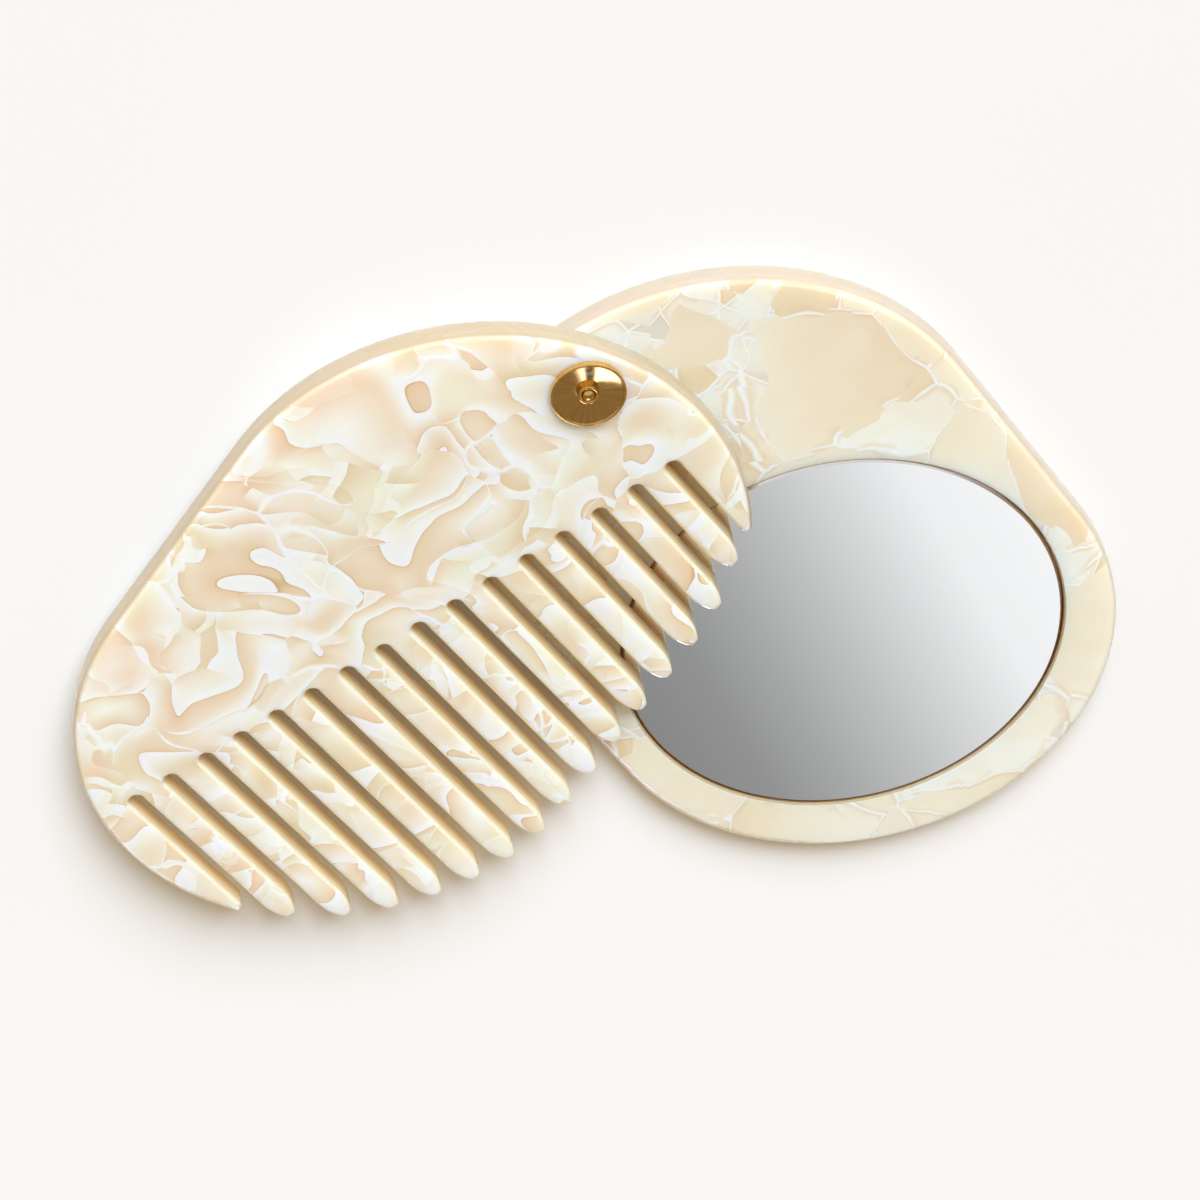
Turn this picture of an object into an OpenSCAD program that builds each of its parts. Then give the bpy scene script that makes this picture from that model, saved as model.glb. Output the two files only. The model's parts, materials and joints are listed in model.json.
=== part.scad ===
// Folding pocket mirror comb: two equal racetrack plates of pearl sheet on one brass rivet.
// The mirror plate lies on its back. The comb plate lies over it and swings about the rivet.
// All sizes are in millimetres. The origin is the middle of the mirror plate's back face,
// X runs from the rivet end to the far end of the mirror plate, and Z points out of the mirror.

/* [Plates] */

// Overall length of each plate
plate_length = 107.2; // [92:0.2:128]

// Overall width of each plate, which is also the diameter of its round ends
plate_width = 74; // [62:0.5:88]

// Thickness of the sheet both plates are cut from
sheet_thickness = 3.6; // [3:0.1:4.6]

// Radius polished onto both rims of each plate
rim_radius = 1; // [0.5:0.1:1.3]

// Free height between the two plates
plate_gap = 0.4; // [0.3:0.05:0.8]

/* [Rivet place] */

// Distance from the end of the plates to the rivet's axis, along the plate
rivet_from_end = 6.6; // [5.6:0.1:8.5]

// Distance of the rivet's axis from the plates' long axis
rivet_offset = 2.5; // [0:0.1:3.2]

// Angle between the two plates as they lie in the rest pose
opening_angle = 67.5; // [0:0.5:180]

/* [Comb teeth] */

// Distance from one tooth to the next
tooth_pitch = 5.97; // [5:0.01:7.2]

// Width of the slots between the teeth
slot_width = 2.2; // [1.8:0.05:2.8]

// Angle between the row of teeth and the plate's long axis
row_tilt = 21.7; // [0:0.1:26]

// How far the row is moved along itself, away from the rivet
row_shift = 0.6; // [-0.6:0.1:1]

// Smallest width left for the first and the last tooth, level with the roots
end_tooth_width = 5.5; // [4:0.1:7]

// How far the roots of the middle slots lie behind the plate's centre
root_setback = 2.3; // [0:0.1:5]

// How much further back the roots of the outer slots lie
root_bow = 0.45; // [0:0.05:2]

// How far the tooth tips stay inside the plate's outline
tip_inset = 1.8; // [1.4:0.05:3]

// How much more they stay inside it at the rivet's end of the row
tip_inset_gain = 1.4; // [0:0.05:2]

// Length over which a tooth narrows to its tip
tip_length = 4; // [3.4:0.1:6]

// Radius of the round nose on each tooth
tip_radius = 1.1; // [0.7:0.05:1.2]

// Radius of the nose on the first and the last tooth
end_tip_radius = 0.85; // [0.6:0.05:1.2]

// Angle of the faint shoulder where the narrowing starts
tip_shoulder = 2; // [1:0.5:4]

// Size of the polished bevel along every slot and tooth edge
tooth_bevel = 0.35; // [0.15:0.05:0.5]

/* [Mirror] */

// Width of the plate left beside the mirror's recess
mirror_side_rim = 6.1; // [4.5:0.1:8]

// Width of the plate left beyond the recess at the far end
mirror_end_rim = 8.8; // [6:0.1:11]

// Thickness of the mirror glass
glass_thickness = 1.5; // [1:0.1:1.8]

// Thickness of the adhesive pad under the glass
pad_thickness = 0.2; // [0.1:0.05:0.3]

// How far the glass lies below the plate's face
glass_sink = 0.2; // [0.1:0.05:0.4]

// Ground bevel round the front edge of the glass
glass_bevel = 0.35; // [0.2:0.05:0.6]

// Polished edge round the mouth of the recess
recess_bevel = 0.25; // [0.1:0.05:0.4]

/* [Rivet] */

// Outer diameter of the hollow rivet's shank
shank_diameter = 2.2; // [1.9:0.05:2.7]

// Bore of the hollow rivet, which the pin is driven into
shank_bore = 1.5; // [1.2:0.05:1.7]

// Diameter of the hollow rivet's flat head on the back
head_diameter = 6; // [5:0.1:7]

// Thickness of that head
head_thickness = 0.5; // [0.35:0.05:0.6]

// Diameter of the backing washer under the head
rear_washer_diameter = 8.6; // [7:0.1:8.8]

// Thickness of the backing washer
rear_washer_thickness = 0.5; // [0.3:0.05:0.6]

// Diameter of the slip washer between the plates
slip_washer_diameter = 8; // [6:0.1:8.8]

// Outer diameter of the dished washer on the front
cup_diameter = 10; // [8.2:0.1:11]

// Height of the dished washer's rim above the comb plate
cup_height = 1.15; // [0.9:0.05:1.4]

// Width of the dished washer's raised rim
cup_rim_width = 0.45; // [0.35:0.05:0.6]

// Thickness of the dished washer at its hole
cup_floor = 0.35; // [0.25:0.05:0.5]

// Outer diameter of the rolled collar that closes the rivet in the dish
collar_diameter = 2.9; // [2.8:0.05:3.3]

// Width of the collar's rolled edge
collar_width = 0.5; // [0.4:0.05:0.6]

/* [Clearances] */

// Running clearance of the comb plate round the shank, on the radius
swing_clearance = 0.07; // [0.03:0.01:0.1]

// Running clearance on each face of the comb plate
face_clearance = 0.05; // [0.03:0.01:0.1]

// Clearance round pieces that are seated in one another, on the radius
seat_clearance = 0.04; // [0.02:0.01:0.08]

// Clearance round the mirror glass in its recess, on the radius
glass_clearance = 0.2; // [0.1:0.05:0.4]

// Clearance between the pad's edge and the recess, on the radius
pad_margin = 1; // [0.5:0.1:2]

/* [Hidden] */

// Smoothness of the preview, and the overrun of every cutter
big_fn = 180;
small_fn = 48;
over = 0.3;

// Plate layout
end_radius = plate_width / 2;
half_run = (plate_length - plate_width) / 2;
rivet_x = -plate_length / 2 + rivet_from_end;
rivet_y = -rivet_offset;

// Heights of the stack, from the back face upwards
comb_bottom = sheet_thickness + plate_gap;
comb_top = comb_bottom + sheet_thickness;
cup_bottom = comb_top + face_clearance;
cup_top = comb_top + cup_height;

// Mirror layout
recess_radius = end_radius - mirror_side_rim;
recess_depth = pad_thickness + glass_thickness + glass_sink;
mirror_x = plate_length / 2 - mirror_end_rim - recess_radius;
glass_radius = recess_radius - glass_clearance;

// Row of teeth, in a frame turned by row_tilt about the plate's centre
half_tooth = (tooth_pitch - slot_width) / 2;
nose = min(tip_radius, 0.6 * half_tooth);
far_x = half_run * cos(row_tilt);
far_y = half_run * sin(row_tilt);
row_half_width = far_x + end_radius;
row_room = 2 * (row_half_width - abs(row_shift) - end_tooth_width - slot_width / 2);
slot_count = floor(row_room / tooth_pitch) + 1;
slot_reach = (slot_count - 1) / 2 * tooth_pitch;

// Each side of a tooth's tip is an arc that meets the nose smoothly
nose_run = tip_length - nose;
side_radius = (pow(half_tooth, 2) + pow(nose_run, 2) - pow(nose, 2))
    / (2 * (half_tooth * cos(tip_shoulder) - nose_run * sin(tip_shoulder) - nose));
side_x = side_radius * cos(tip_shoulder) - half_tooth;
side_y = -side_radius * sin(tip_shoulder);
nose_join = nose_run + nose * (nose_run - side_y) / (side_radius - nose);

// Place of a slot or tooth along the row
function slot_x(k) = row_shift + (k - (slot_count - 1) / 2) * tooth_pitch;
function tooth_x(k) = slot_x(k) - tooth_pitch / 2;

// Height of a round end's outline at one place along the row
function arc_y(x, cx, cy) = cy + sqrt(max(0, pow(end_radius, 2) - pow(x - cx, 2)));

// Height of the plate's outline at one place along the row
function outline_y(x) =
    x > far_x - end_radius * sin(row_tilt) ? arc_y(x, far_x, far_y)
    : x < -far_x - end_radius * sin(row_tilt) ? arc_y(x, -far_x, -far_y)
    : end_radius / cos(row_tilt) + x * tan(row_tilt);

// Heights of a slot's root and of a tooth's tip
function root_y(x) = -root_setback - root_bow * pow(x / slot_reach, 2);
function tip_y(x) = outline_y(x) - tip_inset - tip_inset_gain * max(0, -x) / row_half_width;

// Half of the section through a plate with round rims
module rim_section(half, radius) {
    square([half - radius, sheet_thickness]);
    translate([half - radius - over, radius])
        square([radius + over, sheet_thickness - 2 * radius]);
    for (z = [radius, sheet_thickness - radius])
        translate([half - radius, z]) circle(r = radius, $fn = small_fn);
}

// One racetrack plate with its back face at height 0. Both seams are set out from one end,
// so that rounding never leaves a gap between the straight run and a round end.
module plate_blank() {
    translate([-half_run, 0, 0]) {
        rotate([0, 0, 90]) round_end();
        rotate([90, 0, 90]) linear_extrude(2 * half_run) {
            rim_section(end_radius, rim_radius);
            mirror([1, 0]) rim_section(end_radius, rim_radius);
        }
        translate([2 * half_run, 0, 0]) rotate([0, 0, -90]) round_end();
    }
}

// Half a disc with a round rim
module round_end() {
    rotate_extrude(angle = 180, $fn = big_fn) rim_section(end_radius, rim_radius);
}

// Half of the section through a slot, flared at both faces
module slot_section() {
    flare = slot_width / 2 + tooth_bevel + over;
    polygon([
        [0, -over], [flare, -over], [slot_width / 2, tooth_bevel],
        [slot_width / 2, sheet_thickness - tooth_bevel],
        [flare, sheet_thickness + over], [0, sheet_thickness + over]
    ]);
}

// Cutter for one slot, with its round root at the origin and running along Y
module slot_cutter(length) {
    translate([0, slot_width / 2, 0]) {
        rotate([0, 0, 180]) rotate_extrude(angle = 180, $fn = small_fn) slot_section();
        rotate([90, 0, 180]) linear_extrude(length) {
            slot_section();
            mirror([1, 0]) slot_section();
        }
    }
}

// A disc as thick as the sheet with bevelled edges
module bevelled_disc(radius, fn) {
    rotate_extrude($fn = fn) polygon([
        [0, 0], [radius - tooth_bevel, 0], [radius, tooth_bevel],
        [radius, sheet_thickness - tooth_bevel],
        [radius - tooth_bevel, sheet_thickness], [0, sheet_thickness]
    ]);
}

// The pointed arch at the end of a tooth, which narrows from the origin upwards along Y
module tooth_arch() {
    intersection() {
        translate([-side_x, side_y, 0]) bevelled_disc(side_radius, big_fn);
        translate([side_x, side_y, 0]) bevelled_disc(side_radius, big_fn);
        translate([-half_tooth - over, -over, -over])
            cube([2 * (half_tooth + over), nose_join + over, sheet_thickness + 2 * over]);
    }
    translate([0, nose_run, 0]) bevelled_disc(nose, small_fn);
}

// Cutter that leaves the pointed arch on one tooth and clears all beyond it
module tip_cutter(x) {
    start = tip_y(x) - tip_length;
    translate([x, start, 0]) difference() {
        translate([-tooth_pitch / 2, 0, -over])
            cube([tooth_pitch, tip_length + 3 * tip_inset + tooth_pitch, sheet_thickness + 2 * over]);
        tooth_arch();
    }
}

// Cutter that rounds the corner where an outer slot leaves the plate's outline
module end_tip_cutter(side) {
    wall = slot_reach + slot_width / 2 + side * row_shift;
    gap = wall + end_tip_radius - far_x;
    rise = sqrt(pow(end_radius - end_tip_radius, 2) - pow(gap, 2));
    reach = 3 * tooth_pitch / (end_radius - end_tip_radius);
    translate([side * (wall + end_tip_radius), side * far_y + rise, 0])
        mirror([side < 0 ? 1 : 0, 0, 0]) difference() {
            translate([0, 0, -over]) linear_extrude(sheet_thickness + 2 * over) polygon([
                [0, 0], [-end_tip_radius - over, 0], [-end_tip_radius - over, reach * rise],
                [reach * gap, reach * rise]
            ]);
            bevelled_disc(end_tip_radius, small_fn);
        }
}

// Move a plate by its centre to the place where the comb plate lies
module comb_place() {
    translate([rivet_x, rivet_y, comb_bottom]) rotate([0, 0, -opening_angle])
        translate([-rivet_x, -rivet_y, 0]) children();
}

// The comb plate: one sheet sawn into teeth on a slanting row
module comb_plate() {
    color("Wheat") comb_place() difference() {
        plate_blank();
        rotate([0, 0, -row_tilt]) comb_cuts();
        translate([rivet_x, rivet_y, -over])
            cylinder(d = shank_diameter + 2 * swing_clearance, h = sheet_thickness + 2 * over, $fn = small_fn);
    }
}

// All cutters of the comb, in the frame of the row
module comb_cuts() {
    for (k = [0 : slot_count - 1])
        translate([slot_x(k), root_y(slot_x(k)), 0])
            slot_cutter(outline_y(slot_x(k)) - root_y(slot_x(k)) + tip_inset);
    for (k = [1 : slot_count - 1]) tip_cutter(tooth_x(k));
    for (side = [-1, 1]) end_tip_cutter(side);
}

// The mirror plate: recess for the glass in front, seat for the rivet behind
module mirror_plate() {
    color("BurlyWood") difference() {
        plate_blank();
        translate([mirror_x, 0, sheet_thickness - recess_depth]) rotate_extrude($fn = big_fn)
            polygon([
                [0, 0], [recess_radius, 0], [recess_radius, recess_depth - recess_bevel],
                [recess_radius + recess_bevel + over, recess_depth + over], [0, recess_depth + over]
            ]);
        translate([rivet_x, rivet_y, -over])
            cylinder(d = shank_diameter + 2 * seat_clearance, h = sheet_thickness + 2 * over, $fn = small_fn);
        translate([rivet_x, rivet_y, -over]) cylinder(
            d = rear_washer_diameter + 2 * seat_clearance,
            h = head_thickness + rear_washer_thickness + over, $fn = 96);
    }
}

// The adhesive pad that holds the glass
module mirror_pad() {
    color("Gray") translate([mirror_x, 0, sheet_thickness - recess_depth])
        cylinder(r = recess_radius - pad_margin, h = pad_thickness, $fn = big_fn);
}

// The round mirror glass with its ground bevel
module mirror_glass() {
    color("LightSteelBlue")
        translate([mirror_x, 0, sheet_thickness - recess_depth + pad_thickness])
            rotate_extrude($fn = big_fn) polygon([
                [0, 0], [glass_radius, 0], [glass_radius, glass_thickness - glass_bevel],
                [glass_radius - glass_bevel, glass_thickness], [0, glass_thickness]
            ]);
}

// The hollow rivet: flat head behind, shank through both plates, rolled collar in the dish
module hollow_rivet() {
    collar_radius = collar_diameter / 2;
    collar_base = cup_bottom + cup_floor;
    collar_middle = cup_top - collar_width / 2;
    color("DarkGoldenrod") translate([rivet_x, rivet_y, 0]) difference() {
        rotate_extrude($fn = small_fn) {
            square([head_diameter / 2, head_thickness]);
            square([shank_diameter / 2, collar_middle]);
            translate([0, collar_base]) square([collar_radius, collar_middle - collar_base]);
            translate([collar_radius - collar_width / 2, collar_middle])
                circle(d = collar_width, $fn = small_fn);
        }
        translate([0, 0, 2 * head_thickness])
            cylinder(d = shank_bore, h = cup_top, $fn = small_fn);
        translate([0, 0, collar_base])
            cylinder(r = collar_radius - collar_width, h = cup_top, $fn = small_fn);
    }
}

// The pin that closes the rivet, with its domed head inside the collar
module rivet_pin() {
    dome = collar_diameter / 2 - collar_width - seat_clearance;
    base = cup_bottom + cup_floor;
    color("Khaki") translate([rivet_x, rivet_y, 0]) rotate_extrude($fn = small_fn) {
        translate([0, 2 * head_thickness + seat_clearance])
            square([shank_bore / 2 - seat_clearance, base - 2 * head_thickness]);
        translate([0, base]) square([dome, cup_top - base - dome / 2]);
        intersection() {
            translate([0, cup_top - dome / 2]) circle(r = dome, $fn = small_fn);
            translate([0, cup_top - dome / 2]) square(dome + over);
        }
    }
}

// The dished washer on the front: a cone that sinks from a raised rim to the rivet
module dished_washer() {
    outer = cup_diameter / 2;
    height = cup_top - cup_bottom;
    lip = cup_rim_width / 2;
    color("Gold") translate([rivet_x, rivet_y, cup_bottom]) rotate_extrude($fn = 96) {
        polygon([
            [shank_diameter / 2 + seat_clearance, 0], [outer - lip, 0], [outer, lip],
            [outer, height - lip], [outer - 2 * lip, height - lip],
            [collar_diameter / 2 + lip, cup_floor], [shank_diameter / 2 + seat_clearance, cup_floor]
        ]);
        translate([outer - lip, height - lip]) circle(r = lip, $fn = small_fn);
    }
}

// The slip washer that keeps the plates apart, lying on the mirror plate
module slip_washer() {
    color("Ivory") translate([rivet_x, rivet_y, sheet_thickness]) difference() {
        cylinder(d = slip_washer_diameter, h = plate_gap - face_clearance, $fn = 96);
        translate([0, 0, -over])
            cylinder(d = shank_diameter + 2 * seat_clearance, h = plate_gap + 2 * over, $fn = small_fn);
    }
}

// The backing washer under the rivet's head, sunk in the back of the mirror plate
module rear_washer() {
    color("Goldenrod") translate([rivet_x, rivet_y, head_thickness]) difference() {
        cylinder(d = rear_washer_diameter, h = rear_washer_thickness, $fn = 96);
        translate([0, 0, -over])
            cylinder(d = shank_diameter + 2 * seat_clearance, h = 2, $fn = small_fn);
    }
}

echo(str("closed pose of comb_swing, in degrees: ", -opening_angle));
echo(str("teeth: ", slot_count + 1, ", slots: ", slot_count));

mirror_plate();
mirror_pad();
mirror_glass();
comb_plate();
hollow_rivet();
rivet_pin();
dished_washer();
slip_washer();
rear_washer();
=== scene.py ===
"""Looks of a folding pocket comb and mirror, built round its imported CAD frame."""

import json
import logging
import math
from dataclasses import dataclass
from enum import Enum

import bmesh
import bpy
from mathutils import Matrix, Vector


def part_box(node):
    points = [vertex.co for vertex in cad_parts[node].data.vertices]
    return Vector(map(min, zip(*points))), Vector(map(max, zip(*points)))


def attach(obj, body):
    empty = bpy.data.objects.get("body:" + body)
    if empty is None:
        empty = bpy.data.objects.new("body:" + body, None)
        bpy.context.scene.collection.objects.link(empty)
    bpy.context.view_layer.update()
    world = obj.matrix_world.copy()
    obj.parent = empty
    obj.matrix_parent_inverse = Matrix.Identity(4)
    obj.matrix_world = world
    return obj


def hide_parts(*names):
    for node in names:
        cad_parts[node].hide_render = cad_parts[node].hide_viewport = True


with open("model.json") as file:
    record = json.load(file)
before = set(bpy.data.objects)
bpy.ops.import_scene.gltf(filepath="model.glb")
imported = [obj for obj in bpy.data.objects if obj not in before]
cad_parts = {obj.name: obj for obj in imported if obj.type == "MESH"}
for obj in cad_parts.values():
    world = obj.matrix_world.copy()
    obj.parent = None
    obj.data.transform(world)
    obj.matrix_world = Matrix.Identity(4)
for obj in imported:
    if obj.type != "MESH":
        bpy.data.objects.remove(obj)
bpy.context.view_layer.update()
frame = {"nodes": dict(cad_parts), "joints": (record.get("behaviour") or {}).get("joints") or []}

log = logging.getLogger("pocket_mirror_comb")

Colour = tuple[float, float, float, float]
Point = tuple[float, float, float]
Pair = tuple[float, float]
Tree = bpy.types.NodeTree
Socket = bpy.types.NodeSocket
MIDDLE_GREY = (0.5, 0.5, 0.5)

# Sizes are in millimetres unless a comment says otherwise, and Blender's are in metres.
MM = 0.001
PER_METRE = 1000.0

# The plate's outline is a racetrack: two half circles joined by straight runs.
PLATE_LOW, PLATE_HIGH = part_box("mirror_plate")
END_RADIUS = (PLATE_HIGH.y - PLATE_LOW.y) / 2 / MM
HALF_RUN = (PLATE_HIGH.x - PLATE_LOW.x) / 2 / MM - END_RADIUS
MIRROR_FACE = PLATE_HIGH.z / MM
COMB_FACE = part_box("comb_plate")[1].z / MM

# The rivet's axis, and how far the comb is swung open about it in degrees.
RIVET_X, RIVET_Y, _ = (place / MM for place in frame["joints"][0]["pos_m"])
COMB_OPENING = 67.5


class Body(Enum):
    """The two halves, by the names of their CAD bodies."""

    MIRROR = "mirror_half"
    COMB = "comb_half"


class Slot(Enum):
    """The record's material slots."""

    TILE = "tile_acetate"
    SWIRL = "swirl_acetate"
    MIRROR = "mirror"
    ADHESIVE = "adhesive"
    BRASS = "brass"
    NYLON = "nylon"


def linear(hex_colour: str) -> Colour:
    """Turn an sRGB hex colour into Blender's linear colour.

    Args:
        hex_colour: Six hex digits, red first.

    Returns:
        Linear red, green, blue and an alpha of 1.
    """
    parts = (int(hex_colour[i : i + 2], 16) / 255 for i in (0, 2, 4))
    red, green, blue = (
        v / 12.92 if v <= 0.04045 else ((v + 0.055) / 1.055) ** 2.4 for v in parts
    )
    return (red, green, blue, 1.0)


def add_node(
    tree: Tree,
    kind: str,
    inputs: dict | None = None,
    stops: tuple = (),
    **settings: object,
) -> bpy.types.Node:
    """Add a shader node with its settings, values and links.

    Args:
        tree: The node tree that takes the node.
        kind: The node's type without its ShaderNode prefix.
        inputs: Values or output sockets, by input name or number.
        stops: Place and hex colour of each stop, where the node is a colour ramp.
        **settings: Properties of the node itself.

    Returns:
        The new node.
    """
    node = tree.nodes.new("ShaderNode" + kind)
    for key, value in settings.items():
        setattr(node, key, value)
    for key, value in (inputs or {}).items():
        if isinstance(value, Socket):
            tree.links.new(value, node.inputs[key])
        else:
            node.inputs[key].default_value = value
    for index, (place, hex_colour) in enumerate(stops):
        points = node.color_ramp.elements
        point = points[index] if index < 2 else points.new(place)
        point.position = place
        point.color = linear(hex_colour)
    return node


def new_material(name: str) -> tuple[bpy.types.Material, Tree]:
    """Make an empty node material.

    Args:
        name: The material's name.

    Returns:
        The material and its node tree.
    """
    material = bpy.data.materials.new(name)
    material.use_nodes = True
    material.node_tree.nodes.clear()
    return material, material.node_tree


@dataclass(frozen=True)
class Finish:
    """One finish: a common material with the way its surface was made."""

    name: str
    slot: Slot
    roughness: float

    def shader(self, tree: Tree) -> bpy.types.Node:
        """Build the surface shader and return its node."""
        raise NotImplementedError

    def material(self) -> bpy.types.Material:
        """Return the finish as a Blender material, made once."""
        known = bpy.data.materials.get(self.name)
        if known is not None:
            return known
        material, tree = new_material(self.name)
        add_node(tree, "OutputMaterial", {"Surface": self.shader(tree).outputs[0]})
        return material


@dataclass(frozen=True)
class PearlAcetate(Finish):
    """Cellulose acetate sheet with pearl essence, sawn and tumble polished.

    The pearl flakes lie flat in the sheet, so its faces show white folds and its cut walls show
    the warm clear base between them; painted shade darkens the rim walls and the lower parts of
    slot and recess walls further. Light goes a few millimetres into it.
    Its gloss is that of a polished clear plastic.

    offset is where the sheet was cut from the endless pattern, and stretch how much
    quicker the pattern changes through the thickness. swung is how far the plate is
    turned about the rivet in degrees, lit_height is the height of its face, and
    painted_shade_depth is how far below that the painted shade on the walls of the slots
    is darkest. wall_slope is how upright the normal is where a wall begins and ends, and
    rim_reach how far inside the outline the outer rim ends.
    """

    offset: Point = (31.0, 12.0, 4.0)
    stretch: float = 2.6
    # The wall colours hold painted shade as well as the clear base's tint.
    rim_wall_tint_and_shade_hex: str = "BBA889"
    sawn_deep_shade_hex: str = "F3CB86"
    sawn_mid_shade_hex: str = "F3D7A0"
    sawn_top_shade_hex: str = "F6E8CA"
    painted_shade_depth: float = 3.2
    swung: float = 0.0
    lit_height: float = COMB_FACE
    rim_reach: Pair = (1.7, 1.2)
    wall_slope: Pair = (0.6, 0.985)
    wall_share: float = 0.92
    relief_depth: float = 0.2
    glow_reach: float = 4.0

    def in_mm(self, tree: Tree) -> Socket:
        """Return the place on the piece in millimetres, with the thickness stretched.

        Args:
            tree: The node tree.

        Returns:
            The output socket of the mapped place.
        """
        place = add_node(tree, "TexCoord").outputs["Object"]
        mapped = add_node(
            tree,
            "Mapping",
            {
                "Vector": place,
                "Location": self.offset,
                "Scale": (PER_METRE, PER_METRE, PER_METRE * self.stretch),
            },
        )
        return mapped.outputs[0]

    def wander(self, tree: Tree, place: Socket, size: float, reach: float) -> Socket:
        """Push a place about by smooth noise.

        Args:
            tree: The node tree.
            place: The place in millimetres.
            size: Size of the wandering in millimetres.
            reach: How far it pushes in millimetres.

        Returns:
            The output socket of the pushed place.
        """
        noise = add_node(tree, "TexNoise", {"Vector": place, "Scale": 1 / size, "Detail": 1.0})
        centred = add_node(
            tree, "VectorMath", {0: noise.outputs["Color"], 1: MIDDLE_GREY}, operation="SUBTRACT"
        )
        pushed = add_node(
            tree,
            "VectorMath",
            {0: centred.outputs[0], 1: (reach, reach, reach), 2: place},
            operation="MULTIPLY_ADD",
        )
        return pushed.outputs[0]

    def flakes(self, tree: Tree, place: Socket, size: float) -> tuple[Socket, Socket, Socket]:
        """Cut the sheet into flakes, each with a tone and a slope of its own.

        Args:
            tree: The node tree.
            place: The place in millimetres.
            size: Usual size of a flake in millimetres.

        Returns:
            The sockets of the flake's tone, of its slope and of the distance to its
            border as a share of the size.
        """
        flake = add_node(tree, "TexVoronoi", {"Vector": place, "Scale": 1 / size})
        border = add_node(
            tree, "TexVoronoi", {"Vector": place, "Scale": 1 / size}, feature="DISTANCE_TO_EDGE"
        )
        turn = add_node(
            tree, "VectorMath", {0: flake.outputs["Color"], 1: MIDDLE_GREY}, operation="SUBTRACT"
        )
        away = add_node(
            tree, "VectorMath", {0: place, 1: flake.outputs["Position"]}, operation="SUBTRACT"
        )
        slope = add_node(
            tree, "VectorMath", {0: away.outputs[0], 1: turn.outputs[0]}, operation="DOT_PRODUCT"
        )
        share = add_node(
            tree, "Math", {0: slope.outputs["Value"], 1: 1 / size}, operation="MULTIPLY"
        )
        tone = add_node(tree, "SeparateColor", {0: flake.outputs["Color"]})
        return tone.outputs[0], share.outputs[0], border.outputs["Distance"]

    def inside(self, tree: Tree) -> Socket:
        """Tell how far inside the plate's racetrack outline a place is.

        Args:
            tree: The node tree.

        Returns:
            The socket of a share: 0 on the outer rim, 1 on the walls that were sawn or cut
            into the plate.
        """
        turn = math.radians(self.swung)
        pivot = Vector((RIVET_X, RIVET_Y, 0.0))
        place = add_node(tree, "TexCoord").outputs["Object"]
        laid = add_node(
            tree,
            "Mapping",
            {
                "Vector": place,
                "Location": pivot - Matrix.Rotation(turn, 3, "Z") @ pivot,
                "Rotation": (0.0, 0.0, turn),
                "Scale": (PER_METRE, PER_METRE, 0.0),
            },
        )
        parts = add_node(tree, "SeparateXYZ", {0: laid.outputs[0]})
        along = add_node(tree, "Math", {0: parts.outputs["X"]}, operation="ABSOLUTE")
        along = add_node(tree, "Math", {0: along.outputs[0], 1: HALF_RUN}, operation="SUBTRACT")
        along = add_node(tree, "Math", {0: along.outputs[0], 1: 0.0}, operation="MAXIMUM")
        from_middle = add_node(
            tree, "CombineXYZ", {"X": along.outputs[0], "Y": parts.outputs["Y"], "Z": 0.0}
        )
        reach = add_node(tree, "VectorMath", {0: from_middle.outputs[0]}, operation="LENGTH")
        share = add_node(
            tree,
            "MapRange",
            {
                "Value": reach.outputs["Value"],
                1: END_RADIUS - self.rim_reach[0],
                2: END_RADIUS - self.rim_reach[1],
                3: 1.0,
                4: 0.0,
            },
        )
        return share.outputs[0]

    def walls(self, tree: Tree, face: Socket) -> Socket:
        """Tint the walls with the clear base and paint shade on them: the rim walls darker than
        the faces, and the walls of slots and recesses darker towards the bottom, where less light
        gets in.

        Args:
            tree: The node tree.
            face: The colour of the faces.

        Returns:
            The output socket of the colour.
        """
        normal = add_node(tree, "TexCoord").outputs["Normal"]
        upright = add_node(tree, "SeparateXYZ", {0: normal}).outputs["Z"]
        steep = add_node(tree, "Math", {0: upright}, operation="ABSOLUTE").outputs[0]
        wall = add_node(
            tree,
            "MapRange",
            {
                "Value": steep,
                1: self.wall_slope[0],
                2: self.wall_slope[1],
                3: self.wall_share,
                4: 0.0,
            },
            interpolation_type="SMOOTHSTEP",
        )
        place = add_node(tree, "TexCoord").outputs["Object"]
        height = add_node(tree, "SeparateXYZ", {0: place}).outputs["Z"]
        # Painted shade: how far down a cut wall lies, from painted_shade_depth below the face up
        # to the face.
        depth = add_node(
            tree,
            "MapRange",
            {
                "Value": height,
                1: (self.lit_height - self.painted_shade_depth) * MM,
                2: self.lit_height * MM,
                3: 0.0,
                4: 1.0,
            },
        )
        # Painted shade: the cut walls darken towards their bottom.
        sawn = add_node(
            tree,
            "ValToRGB",
            {0: depth.outputs[0]},
            stops=((0.0, self.sawn_deep_shade_hex), (1.0, self.sawn_top_shade_hex), (0.55, self.sawn_mid_shade_hex)),
        )
        # Rim walls take a tint darkened as painted shade; cut walls take the painted shade ramp.
        cut = add_node(
            tree,
            "Mix",
            {0: self.inside(tree), 6: linear(self.rim_wall_tint_and_shade_hex), 7: sawn.outputs[0]},
            data_type="RGBA",
        )
        mixed = add_node(
            tree,
            "Mix",
            {0: wall.outputs[0], 6: face, 7: cut.outputs[2]},
            data_type="RGBA",
        )
        return mixed.outputs[2]

    def pattern(self, tree: Tree) -> tuple[Socket, Socket]:
        """Return the sockets of the face colour and of the flakes' relief."""
        raise NotImplementedError

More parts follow.
